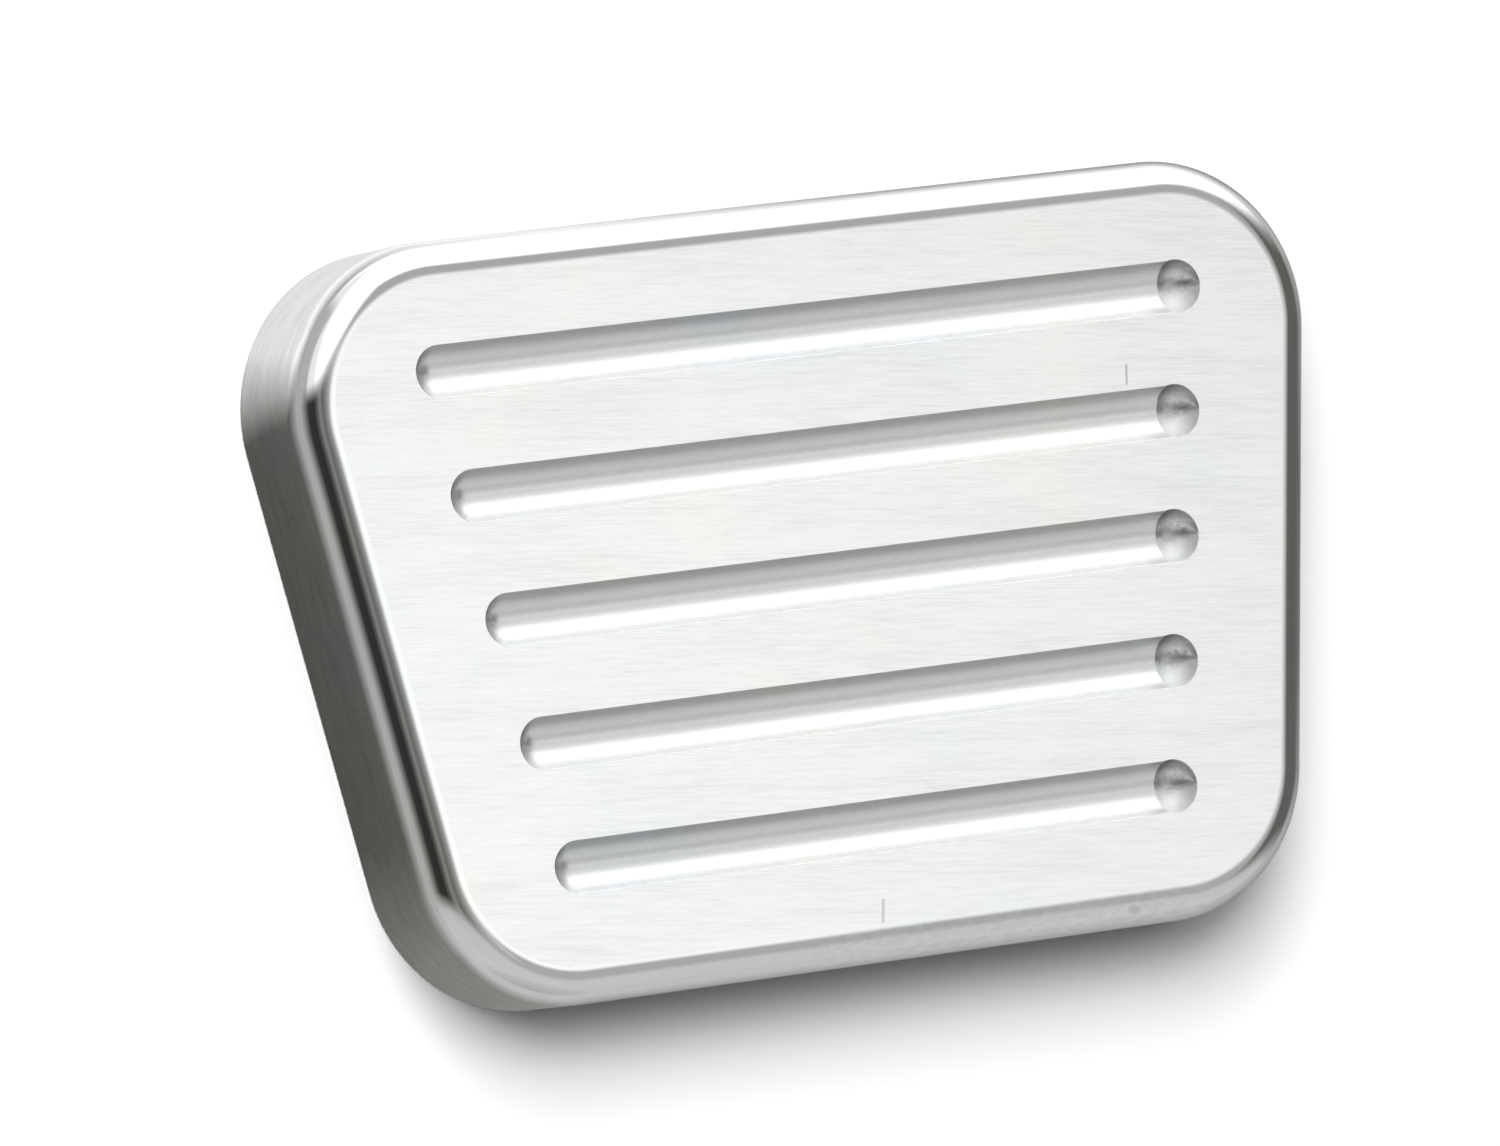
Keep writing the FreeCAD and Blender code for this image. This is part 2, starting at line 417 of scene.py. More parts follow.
def rounded_trapezoid(net, given, inset):
    """The pad's outline, moved inwards by the inset."""
    slope = (given["Top Width"] - given["Bottom Width"]) / given["Pad Height"] / 2
    lean = net.square_root(slope * slope + 1)
    outline = net.add(
        "GeometryNodeCurvePrimitiveQuadrilateral",
        {"mode": "TRAPEZOID"},
        {
            "Height": given["Pad Height"] - inset * 2,
            "Top Width": given["Top Width"] - (slope + lean) * inset * 2,
            "Bottom Width": given["Bottom Width"] + (slope - lean) * inset * 2,
            "Offset": 0.0,
        },
    )
    return net.add(
        "GeometryNodeFilletCurve",
        {"mode": "POLY"},
        {"Curve": outline, "Count": CORNER_STEPS, "Radius": given["Corner Radius"] - inset},
    )["Curve"]


def plate_side(net, given):
    """The back break, the wall and the front round-over, swept round the outline."""
    thick, bend = given["Plate Thickness"], given["Round Over"]
    outer = rounded_trapezoid(net, given, 0.0)
    inner = rounded_trapezoid(net, given, bend)
    size = net.add("GeometryNodeAttributeDomainSize", {"component": "CURVE"}, {"Geometry": outer})
    count = size["Point Count"]
    rows = ROUND_OVER_STEPS + 4
    shape, column, row = lattice(net, count + 1, rows)
    place = net.add("GeometryNodeInputPosition")["Position"]
    corner = [
        net.split(net.add(
            "GeometryNodeSampleIndex",
            {"data_type": "FLOAT_VECTOR", "domain": "POINT"},
            {"Geometry": curve, "Value": place, "Index": net.sum("MODULO", column, count)},
        )["Value"])
        for curve in (outer, inner)
    ]
    turn = net.between((row - 3) / ROUND_OVER_STEPS) * (math.pi / 2)
    first, second, third = row < 0.5, (row > 0.5) * (row < 1.5), (row > 1.5) * (row < 2.5)
    share = (1 - net.sum("COSINE", turn)) + first * given["Back Break"] / bend
    bent = (row > 2.5) * (thick - bend + net.sum("SINE", turn) * bend)
    height = second * given["Back Break"] + third * (thick - bend - WALL_ROW_BELOW) + bent
    x, y = (a + (b - a) * share for a, b in zip(corner[0][:2], corner[1][:2]))
    shape = placed(net, shape, x, y, height)
    shape = store(net, shape, "row", row)
    shape = sharp_line(net, shape, "row", 1.0)
    return store(net, shape, "zone", (named(net, "row") > 3.0) + 1.0, "FACE")


def groove_linings(net, given):
    """The runs of a ball-nosed cutter, one below the other, each with a dip where the cutter went in."""
    ball = given["Cutter Diameter"] / 2
    level = given["Plate Thickness"] - given["Mouth Break"]
    middle = given["Plate Thickness"] + ball - given["Groove Depth"]
    sunk = middle - given["Plunge"]
    rows = GROOVE_ROWS + 2 * BREAK_STEPS + 1
    shape, station, row = lattice(net, 2 * END_STATIONS + 2, rows)
    shape = store(net, store(net, shape, "station", station), "row", row)
    number = net.add("GeometryNodeInputIndex")["Index"]
    pitch = (given["Pad Height"] - given["Top Margin"] - given["Bottom Margin"]) / (given["Groove Count"] - 1)
    drop = given["Pad Height"] / 2 - given["Top Margin"] - pitch * number
    points = net.add("GeometryNodePoints", None, {"Count": given["Groove Count"]})["Points"]
    points = store(net, points, "drop", drop)
    shape = net.add("GeometryNodeInstanceOnPoints", None, {"Points": points, "Instance": shape})["Instances"]
    shape = net.add("GeometryNodeRealizeInstances", None, {"Geometry": shape})["Geometry"]
    station, row, drop = named(net, "station"), named(net, "row"), named(net, "drop")
    slope = (given["Top Width"] - given["Bottom Width"]) / given["Pad Height"] / 2
    reach = (given["Top Width"] + given["Bottom Width"]) / 4 + slope * drop - given["End Margin"]
    across = net.between((row - BREAK_STEPS) / (GROOVE_ROWS / 2), 0.0, 2.0) - 1
    beyond = net.highest(net.highest(BREAK_STEPS - row, row - (BREAK_STEPS + GROOVE_ROWS)), 0.0) / BREAK_STEPS
    mouth = net.square_root(ball * ball - (middle - level) ** 2.0)
    deep_mouth = net.square_root(ball * ball - (sunk - level) ** 2.0)

    # The far end and the run, cut in slices across the groove
    ending = net.between(station / END_STATIONS) * (math.pi / 2)
    left = -(mouth * net.sum("COSINE", ending))
    slice_left = net.square_root(net.highest(ball * ball - left * left, 0.0))
    swing = across * net.sum("ARCCOSINE", net.lowest((middle - level) / slice_left, 1.0))
    y_left = slice_left * net.sum("SINE", swing)
    z_left = middle - slice_left * net.sum("COSINE", swing)

    # The dip, which meets the run where both are equally deep
    roll = across * net.sum("ARCCOSINE", (middle - level) / ball)
    y_meet = ball * net.sum("SINE", roll)
    z_meet = middle - ball * net.sum("COSINE", roll)
    meet = net.square_root(net.highest((middle - sunk) * (middle + sunk - z_meet * 2), 0.0))
    start = -net.sum("ARCSINE", meet / deep_mouth)
    part = net.between((station - (END_STATIONS + 1)) / END_STATIONS)
    right = deep_mouth * net.sum("SINE", start + (math.pi / 2 - start) * part)
    slice_right = net.square_root(net.highest(ball * ball - right * right, 0.0))
    limit = net.sum("ARCCOSINE", net.lowest((sunk - level) / slice_right, 1.0))
    slice_meet = net.square_root(ball * ball - meet * meet)
    meet_limit = net.sum("ARCCOSINE", net.lowest((sunk - level) / slice_meet, 1.0))
    swing = net.sum("ARCTAN2", y_meet, sunk - z_meet) / meet_limit * limit
    y_right = slice_right * net.sum("SINE", swing)
    z_right = sunk - slice_right * net.sum("COSINE", swing)

    in_dip = station > END_STATIONS + 0.5
    offset = net.pick(in_dip, right, left)
    y, z = net.pick(in_dip, y_right, y_left), net.pick(in_dip, z_right, z_left)

    # The edge break, a small curve from the groove out onto the face
    edge = net.pick(in_dip, deep_mouth, mouth)
    centre = net.pick(in_dip, sunk, middle)
    full = net.square_root(ball * ball - (centre - given["Plate Thickness"]) ** 2.0)
    bulge = beyond * (2 - beyond)
    out = bulge * (full - edge) + beyond * beyond * given["Mouth Width"]
    x_out, y_out = offset + offset / edge * out, y + y / edge * out
    x = net.pick(in_dip, reach, -reach) + x_out
    shape = placed(net, shape, x, drop + y_out, z + bulge * given["Mouth Break"])
    shape = sharp_line(net, shape, "station", END_STATIONS + 1.0)
    return store(net, shape, "zone", 3.0, "FACE")


def tapped_holes(net, given):
    """Blind holes in the back with a countersunk mouth, a thread and a drilled point."""
    shape, column, row = lattice(net, HOLE_STEPS + 1, HOLE_RINGS)
    turn = net.sum("MODULO", column, HOLE_STEPS) / HOLE_STEPS
    drill = given["Tap Drill"] / 2
    bottom = given["Hole Depth"]
    depth = net.lowest(row / (HOLE_RINGS - 2), 1.0) * bottom
    wave = net.sum("FRACT", depth / given["Thread Pitch"] + turn)
    tooth = 1 - net.sum("ABSOLUTE", wave * 2 - 1)
    fade = net.between((bottom - depth) / given["Thread Pitch"] - 0.5)
    radius = drill + (given["Screw Diameter"] / 2 - drill) * tooth * fade
    radius = net.highest(radius, drill + given["Screw Chamfer"] - depth)
    last = row > HOLE_RINGS - 1.5
    radius = net.pick(last, 0.0, radius)
    depth = depth + last * drill / math.tan(HALF_DRILL_POINT)
    angle = turn * (2 * math.pi)
    shape = placed(net, shape, radius * net.sum("COSINE", angle), radius * net.sum("SINE", angle), depth)
    shape = net.add("GeometryNodeFlipFaces", None, {"Mesh": shape})["Mesh"]
    number = net.add("GeometryNodeInputIndex")["Index"]
    middle = (given["Screw Count"] - 1) / 2
    place = net.vector((number - middle) * given["Screw Spacing"])
    points = net.add("GeometryNodePoints", None, {"Count": given["Screw Count"], "Position": place})["Points"]
    shape = net.add("GeometryNodeInstanceOnPoints", None, {"Points": points, "Instance": shape})["Instances"]
    shape = net.add("GeometryNodeRealizeInstances", None, {"Geometry": shape})["Geometry"]
    return store(net, shape, "zone", 5.0, "FACE")


def merged(net, *shapes):
    joined = net.add("GeometryNodeJoinGeometry", None, {"Geometry": list(shapes)})
    return net.add("GeometryNodeMergeByDistance", None, {"Geometry": joined, "Distance": MERGE})["Geometry"]


def filled(net, shape, level, zone):
    """A flat face at one height, with a hole wherever an open rim of the shape lies in it."""
    faces = net.add("GeometryNodeInputMeshEdgeNeighbors")["Face Count"]
    height = net.split(net.add("GeometryNodeInputPosition")["Position"])[2]
    rim = (faces < 1.5) * (net.sum("ABSOLUTE", height - level) < LEVEL_WITHIN)
    curve = net.add("GeometryNodeMeshToCurve", None, {"Mesh": shape, "Selection": rim})["Curve"]
    large = net.add("GeometryNodeTransform", None, {"Geometry": curve, "Scale": (1 / MM,) * 3})["Geometry"]
    flat = net.add("GeometryNodeFillCurve", {"mode": "TRIANGLES"}, {"Curve": large})["Mesh"]
    place = net.vector(0.0, 0.0, level)
    small = {"Geometry": flat, "Scale": (MM,) * 3, "Translation": place}
    return store(net, net.add("GeometryNodeTransform", None, small)["Geometry"], "zone", zone, "FACE")


def pad_tree(sockets):
    net, given = new_tree("grooved_pad", sockets)
    side = plate_side(net, given)
    grooves = groove_linings(net, given)
    holes = tapped_holes(net, given)
    open_shape = merged(net, side, grooves, holes)
    front = filled(net, open_shape, given["Plate Thickness"], 0.0)
    back = filled(net, open_shape, 0.0, 4.0)
    back = net.add("GeometryNodeFlipFaces", None, {"Mesh": back})["Mesh"]
    shape = merged(net, open_shape, front, back)
    smooth = {"Geometry": shape, "Shade Smooth": True}
    shape = net.add("GeometryNodeSetShadeSmooth", {"domain": "FACE"}, smooth)
    zone = named(net, "zone")
    flat = (zone < 0.5) + (zone > 3.5) * (zone < 4.5)
    shape = net.add(
        "GeometryNodeSetShadeSmooth",
        {"domain": "FACE"},
        {"Geometry": shape, "Selection": flat, "Shade Smooth": False},
    )
    shape = net.add("GeometryNodeRealizeInstances", None, {"Geometry": shape})
    for number, name in enumerate(FINISHES):
        here = (zone > number - 0.5) * (zone < number + 0.5)
        shape = net.add(
            "GeometryNodeSetMaterial",
            None,
            {"Geometry": shape, "Selection": here, "Material": given[name]},
        )
    net.add("NodeGroupOutput", None, {"Geometry": shape})
    return net.tree


# Finishes

def new_material(name):
    material = bpy.data.materials.new(name)
    material.use_nodes = True
    material.node_tree.nodes.clear()
    return material, Net(material.node_tree)


def marks(net, place, turn, scale, detail):
    """Fine tool marks between -0.5 and 0.5, turned about Z and stretched by the scale per metre."""
    bent = net.add(
        "ShaderNodeMapping",
        {"vector_type": "TEXTURE"},
        {"Vector": place, "Rotation": (0.0, 0.0, turn), "Scale": tuple(1 / per_metre for per_metre in scale)},
    )["Vector"]
    inputs = {"Vector": bent, "Scale": 1.0, "Detail": detail, "Roughness": 0.6}
    return net.add("ShaderNodeTexNoise", None, inputs)["Fac"] - 0.5


def ramp(net, value, stops):
    return net.add("ShaderNodeValToRGB", {"stops": stops}, {"Fac": value})["Color"]


def new_finish(name, colour, roughness, layers, wear_and_painted_shade=None):
    """Bare aluminium, a little warmer and cooler in patches, with its layers of tool marks and its wear; for
    the grooves that step paints shade instead.
    """
    material, net = new_material(name)
    place = net.add("ShaderNodeTexCoord")["Object"]
    tone, rough, height = 1.0, roughness, 0.0
    for turn, scale, detail, tint, spread, relief in layers:
        layer = marks(net, place, turn, scale, detail)
        tone = layer * tint + tone
        rough = layer * spread + rough
        height = layer * relief + height
    if wear_and_painted_shade:
        darkened, roughened = wear_and_painted_shade(net, place)
        tone = tone * darkened
        rough = rough + roughened
    patch = net.between(marks(net, place, 0.0, PATCH_SCALE, 3.0) * PATCH_CONTRAST + 0.5)
    warm, cool = (tuple(c + d for c, d in zip(colour, shift)) for shift in (WARMER, COOLER))
    sides = {"Factor": patch, "A": (*warm, 1.0), "B": (*cool, 1.0)}
    mixed = net.add("ShaderNodeMix", {"data_type": "RGBA"}, sides)
    toned = net.add("ShaderNodeVectorMath", {"operation": "SCALE"}, {0: mixed, "Scale": tone})
    bump = net.add("ShaderNodeBump", None, {"Strength": 1.0, "Distance": RELIEF_HEIGHT, "Height": height})
    shader = net.add("ShaderNodeBsdfPrincipled", None, {
        "Base Color": toned["Vector"],
        "Metallic": 1.0,
        "Roughness": rough,
        "Normal": bump["Normal"],
    })
    net.add("ShaderNodeOutputMaterial", None, {"Surface": shader["BSDF"]})
    return material


def line_distance(net, place, start, end):
    """How far a place on the face is from a straight mark, in metres."""
    x, y, _ = net.split(place)
    run = (end[0] - start[0], end[1] - start[1])
    size = run[0] ** 2 + run[1] ** 2
    along = net.between(((x - start[0]) * run[0] + (y - start[1]) * run[1]) * (1 / size))
    off_x, off_y = x - along * run[0] - start[0], y - along * run[1] - start[1]
    return net.square_root(off_x * off_x + off_y * off_y)


def face_wear(net, place):
    """Two short scratches and two faint rubbed patches."""
    tone, rough = 1.0, 0.0
    blotch = marks(net, place, 0.0, BLOTCH_SCALE, 4.0)
    for start, end, reach, soft, dark, dull in FACE_MARKS:
        away = line_distance(net, place, start, end) / reach
        here = net.between((1.5 - away - blotch * 1.2) / soft)
        tone = tone * (1.0 - here * dark)
        rough = rough + here * dull
    return tone, rough


def cutter_lines(net, place):
    """Fine lines that the round-over cutter left along the edge, with scuffs and a nick at the bottom."""
    row = net.add("ShaderNodeAttribute", {"attribute_name": "row"})["Fac"]
    x, y, _ = net.split(place)
    lines = net.add("ShaderNodeTexNoise", {"noise_dimensions": "3D"}, {
        "Vector": net.vector(row * LINES_PER_ROW, x * LINES_PER_METRE, y * LINES_PER_METRE),
        "Scale": 1.0,
        "Detail": 4.0,
        "Roughness": 0.7,
    })["Fac"]
    fade_along, fade_up = SCUFF_FADE
    scuffed = net.between((SCUFFS_BELOW - y) * fade_up)
    scuffed = scuffed * net.between((x - SCUFFS_FROM) * fade_along)
    scuffed = scuffed * net.between((SCUFFS_TO - x) * fade_along)
    scuffs = marks(net, place, 0.0, SCUFF_SCALE, 4.0)
    off_nick = line_distance(net, place, NICK_START, NICK_END) / NICK_REACH
    nick = net.between(1.3 + scuffs * 2 - off_nick)
    tone = 1.0 + (lines - 0.55) * LINE_CONTRAST
    tone = tone * (1.0 + scuffs * scuffed * SCUFF_CONTRAST) * (1.0 - nick * NICK_DARKER)
    return tone, (lines - 0.5) * LINE_DULLER + (scuffs + 0.5) * scuffed * SCUFF_DULLER


def groove_painted_shade_and_roughness(net, place):
    """Painted shade across the groove, darker on its upper side, and more roughness on the side that the
    cutter climbed; painted shade and more roughness at the start of the run; and in the dip where the cutter
    went in, painted shade on the upper half with a painted dark wedge and band, made uneven by chatter.
    """
    row, station = (
        net.add("ShaderNodeAttribute", {"attribute_name": name})["Fac"] for name in ("row", "station")
    )
    side = (row - BREAK_STEPS) / (GROOVE_ROWS / 2) - 1
    # Painted shade across the groove, darker on its upper side
    tone = ramp(net, net.between(side * 0.5 + 0.5), GROOVE_SIDE_PAINTED_SHADE) * GROOVE_SIDE_PAINTED_SHADE_GAIN
    chatter = marks(net, place, 0.0, CHATTER_SCALE, 3.0)

    # The dip: painted shade on its upper half, a painted dark wedge where it begins and a painted dark band
    # along its middle, made uneven by chatter
    dip = station > END_STATIONS + 1.001
    part = (station - (END_STATIONS + 1)) / END_STATIONS
    upper = net.between(side * 6 + 0.3 + chatter * 1.5)
    wedge = net.between(1.2 - part * 3.2 + chatter * 2)
    band = net.between(1.5 - net.sum("ABSOLUTE", side - 0.1 + chatter * 0.5) * 5) * net.between(part * 3)
    darker = DIP_PAINTED_SHADE + wedge * WEDGE_PAINTED_SHADE - chatter * CHATTER_DARKER
    tone = tone * (1.0 - dip * upper * darker) * (1.0 - dip * band * BAND_PAINTED_SHADE)

    # Painted shade at the start of the run, and the roughness of the start, the climbed side and the mouth
    start = net.between(1.45 - station / END_STATIONS * 1.7 + chatter * 0.8)
    climbed = net.between(side * -12 + 0.6)
    mouth = net.between((-1 - side) * 12)
    rough = climbed * CLIMB_DULLER + dip * (1 - upper) * DIP_DULLER + mouth * MOUTH_DULLER
    return tone * (1.0 - start * START_PAINTED_SHADE), rough + start * START_DULLER


def finishes():
    """A material for each finish: its colour, roughness, tool marks and wear, and the painted shade in the
    grooves.
    """
    made = (
        new_finish("brushed_face", (0.944, 0.945, 0.938), 0.21, FACE_LAYERS, face_wear),
        new_finish("milled_wall", (0.88, 0.88, 0.865), 0.26, WALL_LAYERS),
        new_finish("polished_round_over", (0.92, 0.92, 0.92), 0.065, ROUND_OVER_LAYERS, cutter_lines),
        new_finish("milled_groove", (0.9, 0.9, 0.9), 0.36, GROOVE_LAYERS, groove_painted_shade_and_roughness),
        new_finish("machined_back", (0.84, 0.84, 0.83), 0.34, BACK_LAYERS),
        new_finish("tapped_hole", (0.72, 0.72, 0.71), 0.3, HOLE_LAYERS),
    )
    return dict(zip(FINISHES, made))


# What a user can change

def length(name, description, default):
    return bpy.props.FloatProperty(
        name=name, description=description, default=default * MM, min=0.0, unit="LENGTH", precision=5
    )


class PadSizes(bpy.types.PropertyGroup):
    """The sizes that the pad is milled to."""

    top_width: length("Top Width", "Width at the wide edge, to the corners of the trapezoid", 103.6)
    bottom_width: length("Bottom Width", "Width at the narrow edge, to the corners of the trapezoid", 82.6)
    pad_height: length("Pad Height", "From the narrow edge to the wide edge", 66.3)
    plate_thickness: length("Plate Thickness", "Thickness of the plate", 12.7)
    corner_radius: length("Corner Radius", "Radius of the outline's corners", 14.0)
    round_over: length("Round Over", "Radius of the front edge", 3.175)
    back_break: length("Back Break", "Chamfer round the back edge", 0.3)
    cutter_diameter: length("Cutter Diameter", "Diameter of the ball-nosed cutter", 4.7625)
    groove_depth: length("Groove Depth", "Depth of each groove", 1.5875)
    plunge: length("Plunge", "How much deeper the cutter went in at the right ends", 0.25)
    top_margin: length("Top Margin", "From the wide edge to the first groove", 11.3)
    bottom_margin: length("Bottom Margin", "From the narrow edge to the last groove", 11.7)
    end_margin: length("End Margin", "From the leaning side to the end of the cutter's run", 14.0)
    mouth_break: length("Mouth Break", "Depth of the edge break round a groove", 0.05)
    mouth_width: length("Mouth Width", "Width of the edge break on the face", 0.06)
    screw_diameter: length("Screw Diameter", "Outer diameter of the screw thread", 6.35)
    thread_pitch: length("Thread Pitch", "Distance from one turn of the thread to the next", 1.27)
    tap_drill: length("Tap Drill", "Drill used before the thread is cut", 5.1)
    screw_chamfer: length("Screw Chamfer", "Depth of the countersunk mouth of a hole", 0.85)
    screw_spacing: length("Screw Spacing", "Distance between the screw holes", 38.1)
    hole_depth: length("Hole Depth", "Depth of the straight part of a hole", 7.98)
    groove_count: bpy.props.IntProperty(
        name="Groove Count", description="Number of grooves", default=5, min=2
    )
    screw_count: bpy.props.IntProperty(
        name="Screw Count", description="Number of screw holes", default=2, min=1
    )


class StudioSettings(bpy.types.PropertyGroup):
    """The floor and the light round the pad."""

    floor_colour: bpy.props.FloatVectorProperty(
        name="Floor Colour", description="Colour of the floor", subtype="COLOR", default=(0.9, 0.9, 0.9)
    )
    light: bpy.props.FloatProperty(name="Light", description="Strength of the lamps", default=1.0, min=0.0)


# Making the pieces

def plain_mesh(holder, name):
    """The evaluated shape as a mesh of its own on a clean object."""
    depsgraph = bpy.context.evaluated_depsgraph_get()
    mesh = bpy.data.meshes.new_from_object(holder.evaluated_get(depsgraph), depsgraph=depsgraph)
    mesh.name = name
    while mesh.materials and mesh.materials[0] is None:
        mesh.materials.pop(index=0)
    bpy.data.objects.remove(holder)
    piece = bpy.data.objects.new(name, mesh)
    bpy.context.scene.collection.objects.link(piece)
    return piece


def tree_sockets(sizes):
    """The tree's inputs, named and set as the user's sizes are, and one for each finish."""
    sockets = {}
    for key, item in sizes.bl_rna.properties.items():
        if item.type in {"FLOAT", "INT"}:
            sockets[item.name] = ("Float" if item.type == "FLOAT" else "Int", getattr(sizes, key))
    for name in FINISHES:
        sockets[name] = ("Material", None)
    return sockets


class PEDALPAD_OT_pad(bpy.types.Operator):
    """Make the grooved pad in place of the plain CAD one"""

    bl_idname = "pedal_pad.pad"
    bl_label = "Make the Pad"

    def execute(self, context):
        tree = pad_tree(tree_sockets(context.scene.pad_sizes))
        holder = bpy.data.objects.new("pad_holder", bpy.data.meshes.new("pad_holder"))
        context.scene.collection.objects.link(holder)
        modifier = holder.modifiers.new("Pad", "NODES")
        modifier.node_group = tree
        made = finishes()
        for item in tree.interface.items_tree:
            if item.item_type == "SOCKET" and item.name in made:
                modifier[item.identifier] = made[item.name]
        piece = plain_mesh(holder, "grooved_pad")
        if not piece.data.polygons:
            raise RuntimeError("the pad's tree made no faces")
        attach(piece, BODY)
        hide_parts(NODE)
        return {"FINISHED"}


def add_camera(scene):
    data = bpy.data.cameras.new("camera")
    data.sensor_width = SENSOR_MM
    data.lens = FOCAL_PIXELS * SENSOR_MM / IMAGE_WIDTH
    data.clip_end = CAMERA_REACH
    camera = bpy.data.objects.new("camera", data)
    scene.collection.objects.link(camera)
    right, up = Vector(CAMERA_RIGHT).normalized(), Vector(CAMERA_UP)
    back = right.cross(up).normalized()
    up = back.cross(right)
    turn = Matrix((right, up, back)).transposed().to_4x4()
    camera.matrix_world = Matrix.Translation(CAMERA_PLACE) @ turn
    scene.camera = camera


def add_lamp(scene, name, polar, azimuth, distance, width, height, brightness):
    """A soft box at this angle from straight up and this turn from +X, facing the pad."""
    data = bpy.data.lights.new(name, "AREA")
    data.shape = "RECTANGLE"
    data.size, data.size_y = width, height
    data.energy = brightness * math.pi * width * height
    lamp = bpy.data.objects.new(name, data)
    scene.collection.objects.link(lamp)
    away = Vector((
        math.sin(math.radians(polar)) * math.cos(math.radians(azimuth)),
        math.sin(math.radians(polar)) * math.sin(math.radians(azimuth)),
        math.cos(math.radians(polar)),
    ))
    lamp.location = away * distance
    lamp.rotation_euler = away.to_track_quat("Z", "Y").to_euler()
    lamp.visible_camera = False
    lamp.visible_glossy = False


def stage_piece(scene, name, vertices, faces, material):
    mesh = bpy.data.meshes.new(name)
    mesh.from_pydata(vertices, [], faces)
    mesh.materials.append(material)
    piece = bpy.data.objects.new(name, mesh)
    scene.collection.objects.link(piece)
    return piece


def only_in_gloss(piece):
    """A card that the metal mirrors, but that is not seen and casts no light or shadow."""
    piece.visible_camera = False
    piece.visible_diffuse = False
    piece.visible_shadow = False
    piece.visible_transmission = False
    piece.visible_volume_scatter = False


def floor_material(colour):
    """White paper, brighter where it is looked at than where it lights the pad."""
    material, net = new_material("floor_paper")
    rays = net.add("ShaderNodeLightPath")
    seen = net.between(rays["Is Camera Ray"] + rays["Is Glossy Ray"] + rays["Is Transmission Ray"])
    tint = net.add(
        "ShaderNodeMix",
        {"data_type": "RGBA"},
        {"Factor": seen, "A": (*colour, 1.0), "B": (FLOOR_SEEN, FLOOR_SEEN, FLOOR_SEEN, 1.0)},
    )
    shader = net.add("ShaderNodeBsdfDiffuse", None, {"Color": tint["Result"]})
    net.add("ShaderNodeOutputMaterial", None, {"Surface": shader["BSDF"]})
    return material


def past(net, value, edge, soft):
    """0 before an edge and 1 past it, fading over the soft width."""
    return net.between((value - edge) / soft + 0.5)


def before(net, value, edge, soft):
    """1 before an edge and 0 past it, fading over the soft width."""
    return net.between((edge - value) / soft + 0.5)


def soft_band(net, value, low, high, soft):
    """1 between two edges, fading to 0 over the soft width at each."""
    return past(net, value, low, soft) * before(net, value, high, soft)


def glow_material(name, net_of_shade):
    """A cloth that only shines: warm where it is dark and neutral where it is light."""
    material, net = new_material(name)
    shade = net_of_shade(net)
    sides = {"Factor": net.between(shade * 2), "A": WARM, "B": COOL}
    tint = net.add("ShaderNodeMix", {"data_type": "RGBA"}, sides)["Result"]
    straight = net.add("ShaderNodeLightPath")["Diffuse Depth"] < 0.5
    light = net.add("ShaderNodeVectorMath", {"operation": "SCALE"}, {0: tint, "Scale": shade * straight})
    glow = net.add("ShaderNodeEmission", None, {"Color": light["Vector"], "Strength": 1.0})
    net.add("ShaderNodeOutputMaterial", None, {"Surface": glow["Emission"]})
    material.cycles.emission_sampling = "NONE"
    return material


def tent_shade(net):
    """How bright the tent is by direction, given as angles from straight up to the right and to the top."""
    place = net.add("ShaderNodeTexCoord")["Object"]
    x, y, z = net.split(net.add("ShaderNodeVectorMath", {"operation": "NORMALIZE"}, {0: place})["Vector"])
    right = net.sum("ARCTAN2", x, z) * (180 / math.pi)
    top = net.sum("ARCSINE", y) * (180 / math.pi)
    across, along = right * (1 / 180) + 0.5, top * (1 / 180) + 0.5
    spot_right, spot_top, wide, high, soft = LAMP_SPOT
    beside = right - spot_right
    off_spot = net.square_root(beside * beside + top * top)
    shade = ramp(net, along, TENT_CLOTH) * TENT_BRIGHTEST

    # The grey ring round the lamp that the face mirrors
    ring = before(net, off_spot, *RING_EDGE)
    ring = ring * net.highest(past(net, right, *RING_LEFT_EDGE), before(net, top, *RING_LOW_EDGE))
    shade = net.pick(ring, RING_SHADE, shade)

    # The left lamp, dimmer far to the left, and the skirt below it
    lamp = before(net, right, *LEFT_LAMP_RIGHT_EDGE) * past(net, top, *LEFT_LAMP_LOW_EDGE)
    fall = before(net, right, *LEFT_LAMP_FALL_EDGE) * LEFT_LAMP_FALL
    shade = net.pick(lamp, LEFT_LAMP_SHADE - fall, shade)
    skirt = before(net, z, *SKIRT_HEIGHT) * before(net, x, *SKIRT_RIGHT_EDGE) * (top > SKIRT_LOW_EDGE)
    shade = net.pick(skirt, SKIRT_SHADE, shade)

    # The gaps to the left and to the right
    left_gap = soft_band(net, top, *LEFT_GAP) * (right < LEFT_GAP_END)
    shade = net.pick(left_gap, ramp(net, across, TENT_LEFT), shade)
    right_gap = soft_band(net, top, *RIGHT_GAP) * past(net, right, *RIGHT_GAP_START)
    shade = net.pick(right_gap, RIGHT_SHADE, shade)

    # The lamp that the face mirrors
    oval = net.square_root((beside / wide) ** 2 + ((top - spot_top) / high) ** 2)
    spot = SPOT_SHADE + net.between(SPOT_LEVEL_AT - right, *SPOT_LEAN_LIMITS) * SPOT_LEAN
    return net.pick(before(net, oval, 1, soft), spot, shade)


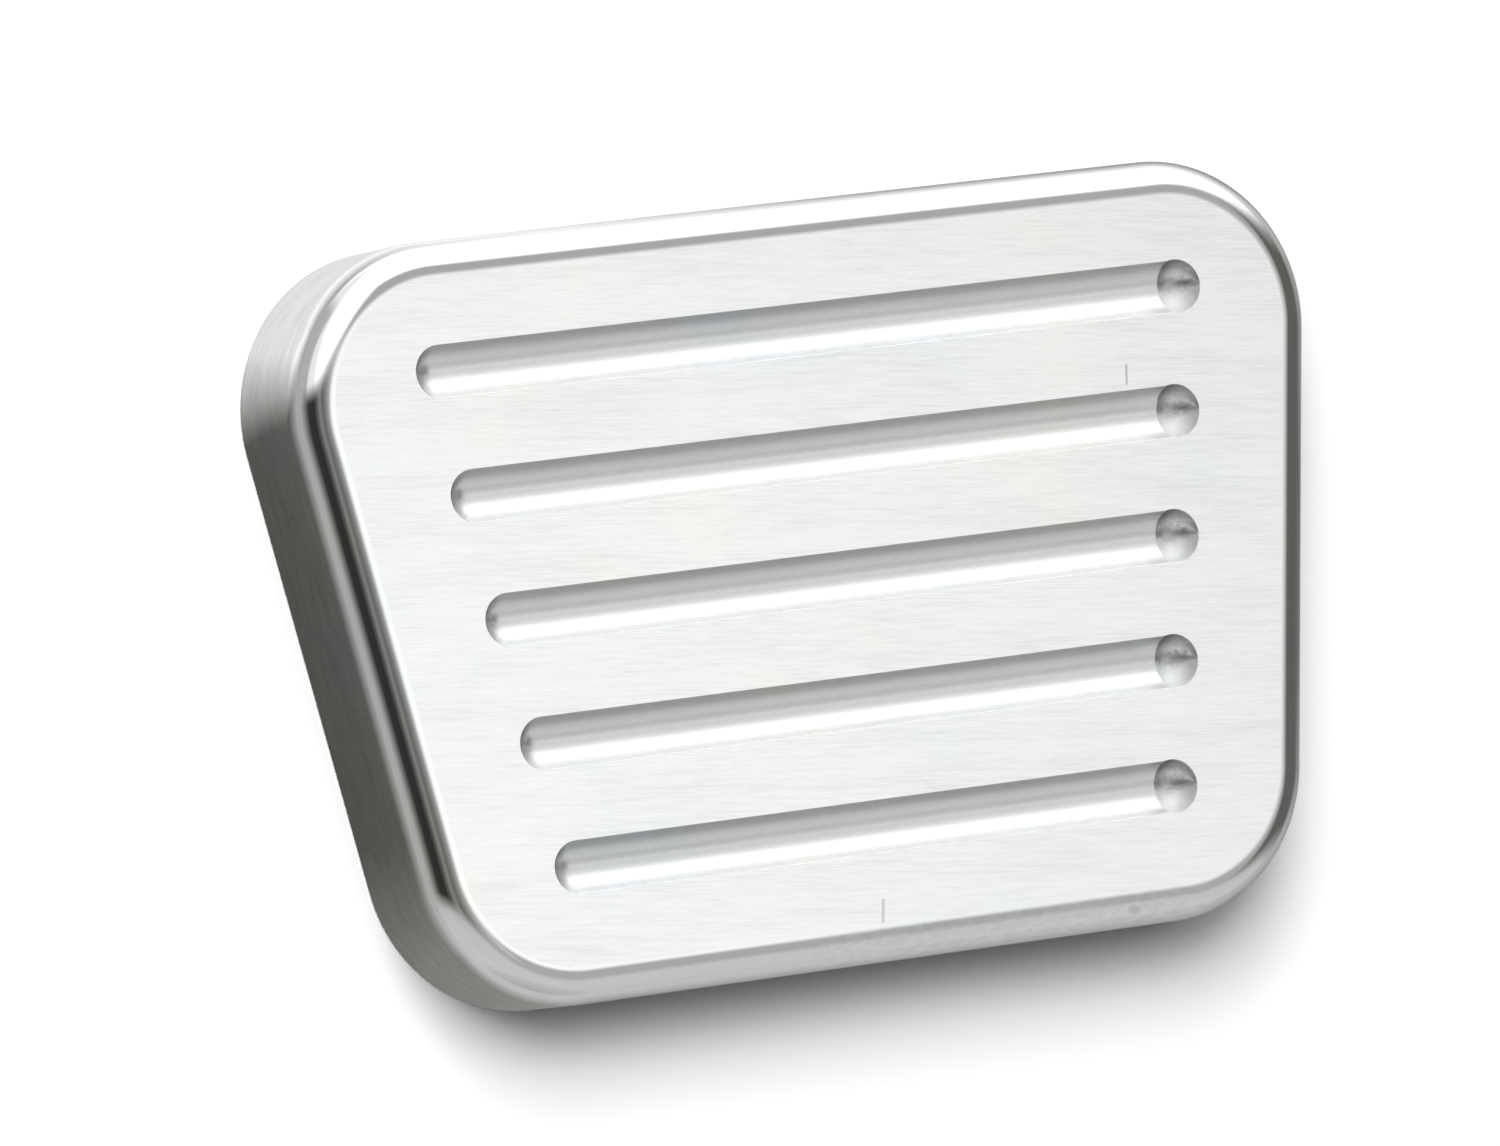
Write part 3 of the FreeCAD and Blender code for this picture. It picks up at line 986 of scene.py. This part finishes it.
def apron_shade(net):
    """How bright the apron is, by the distance from the pad's outline and the turn from +X."""
    x, y, _ = net.split(net.add("ShaderNodeTexCoord")["Object"])
    x, y = x / MM, y / MM

    # The distance from the outline in millimetres
    side = (net.sum("ABSOLUTE", x) - y * PAD_SLOPE) * PAD_COSINE - PAD_HALF_WIDTH
    away = net.highest(net.highest(side, net.sum("ABSOLUTE", y) - PAD_HALF_HEIGHT), 1.0)
    turn = net.sum("ARCTAN2", -y, -x) / (2 * math.pi) + 0.5

    # One pattern close to the pad and one far from it
    far = past(net, net.sum("LOGARITHM", away, 10.0), *APRON_FAR_EDGE)
    gain = past(net, away, *APRON_CLOSE_EDGE) * APRON_CLOSE_GAIN + APRON_CLOSE_SHADE
    return net.pick(far, ramp(net, turn, APRON_FAR), ramp(net, turn, APRON_NEAR) * gain)


def dome(radius, rings, steps):
    """The corners and faces of the upper half of a ball."""
    corners = [
        (
            radius * math.sin(math.pi / 2 * ring / rings) * math.cos(2 * math.pi * step / steps),
            radius * math.sin(math.pi / 2 * ring / rings) * math.sin(2 * math.pi * step / steps),
            radius * math.cos(math.pi / 2 * ring / rings),
        )
        for ring in range(rings + 1)
        for step in range(steps)
    ]
    faces = []
    for ring in range(rings):
        for step in range(steps):
            here, following = ring * steps + step, ring * steps + (step + 1) % steps
            faces.append((here, following, following + steps, here + steps))
    return corners, faces


def square(half, height):
    corners = [(x * half, y * half, height) for x, y in ((-1, -1), (1, -1), (1, 1), (-1, 1))]
    return corners, [(0, 1, 2, 3)]


class PEDALPAD_OT_studio(bpy.types.Operator):
    """Make the floor, the lamps and the camera"""

    bl_idname = "pedal_pad.studio"
    bl_label = "Make the Studio"

    def execute(self, context):
        scene = context.scene
        scene.view_settings.view_transform = "Standard"
        settings = scene.pad_studio
        stage_piece(scene, "floor", *square(FLOOR_SIZE, 0.0), floor_material(settings.floor_colour))
        apron_cloth = glow_material("apron_cloth", apron_shade)
        only_in_gloss(stage_piece(scene, "apron", *square(TENT_SIZE, APRON_HEIGHT), apron_cloth))
        tent_cloth = glow_material("tent_cloth", tent_shade)
        only_in_gloss(stage_piece(scene, "tent", *dome(TENT_SIZE, TENT_RINGS, TENT_STEPS), tent_cloth))
        scene.world = scene.world or bpy.data.worlds.new("studio")
        scene.world.use_nodes = True
        background = scene.world.node_tree.nodes["Background"]
        background.inputs["Color"].default_value = (1.0, 1.0, 1.0, 1.0)
        background.inputs["Strength"].default_value = WORLD_BRIGHTNESS
        for name, polar, azimuth, distance, width, height, brightness in LAMPS:
            add_lamp(scene, name, polar, azimuth, distance, width, height, brightness * settings.light)
        add_camera(scene)
        return {"FINISHED"}


class PEDALPAD_PT_panel(bpy.types.Panel):
    """Lists the steps and the sizes"""

    bl_label = "Brake Pedal Pad"
    bl_idname = "PEDALPAD_PT_panel"
    bl_space_type = "VIEW_3D"
    bl_region_type = "UI"
    bl_category = "Pedal pad"

    def draw(self, context):
        layout = self.layout
        for operator in (PEDALPAD_OT_pad, PEDALPAD_OT_studio):
            layout.operator(operator.bl_idname)
        for settings in (context.scene.pad_sizes, context.scene.pad_studio):
            box = layout.box()
            for key in settings.bl_rna.properties.keys():
                if key not in {"rna_type", "name"}:
                    box.prop(settings, key)


CLASSES = (PadSizes, StudioSettings, PEDALPAD_OT_pad, PEDALPAD_OT_studio, PEDALPAD_PT_panel)


def register():
    for item in CLASSES:
        bpy.utils.register_class(item)
    bpy.types.Scene.pad_sizes = bpy.props.PointerProperty(type=PadSizes)
    bpy.types.Scene.pad_studio = bpy.props.PointerProperty(type=StudioSettings)


def unregister():
    del bpy.types.Scene.pad_studio
    del bpy.types.Scene.pad_sizes
    for item in reversed(CLASSES):
        bpy.utils.unregister_class(item)


def main():
    register()
    bpy.ops.pedal_pad.pad()
    bpy.ops.pedal_pad.studio()


if __name__ == "__main__":
    main()
